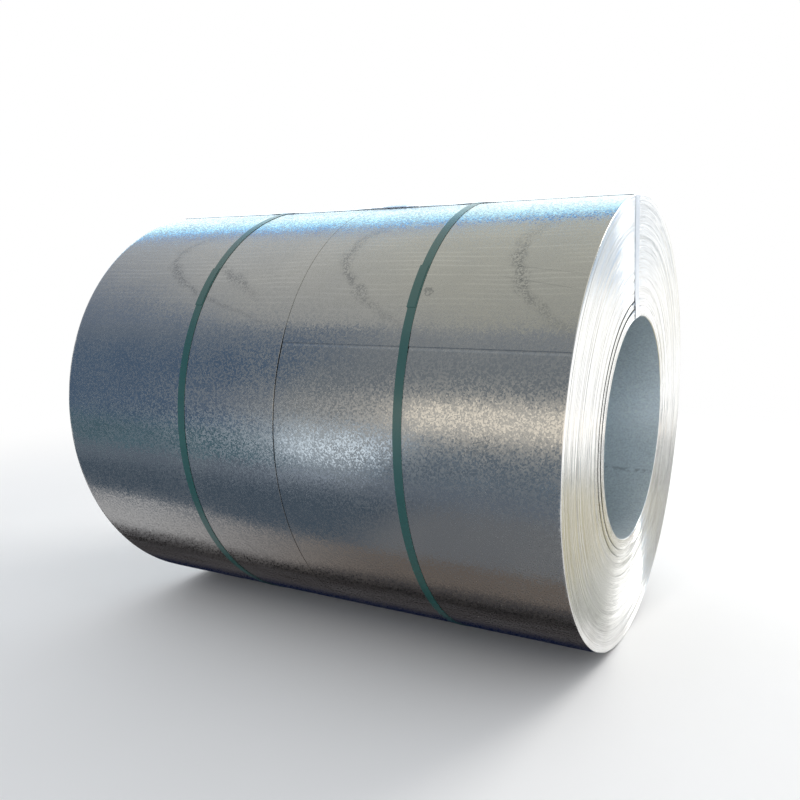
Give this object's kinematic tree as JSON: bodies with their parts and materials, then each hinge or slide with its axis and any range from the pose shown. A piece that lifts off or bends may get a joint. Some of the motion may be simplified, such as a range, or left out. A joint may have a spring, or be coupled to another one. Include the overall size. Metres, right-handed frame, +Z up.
{
  "type": "steel coil",
  "caption": "Galvanised steel strip wound into a heavy coil with an open bore, slit down the middle, tied by green belly straps and a bare strap through the eye.",
  "frame": {"origin": "on the floor under the middle of the coil, where the belly straps touch it", "axes": "+X along the coil's axis towards the end that the picture shows, +Z up, so -Y is the side that the picture looks at"},
  "size_m": [1.2518, 1.0218, 1.0218],
  "materials": {
    "galvanised_strip": "hot-dip zinc with small spangle",
    "green_strap": "satin paint",
    "bare_strap": "bright zinc"
  },
  "bodies": {
    "root": {"near_slit_coil": "galvanised_strip", "far_slit_coil": "galvanised_strip", "near_belly_strap": "green_strap", "far_belly_strap": "green_strap", "eye_strap": "bare_strap", "eye_strap_seal": "bare_strap"}
  },
  "joints": []
}
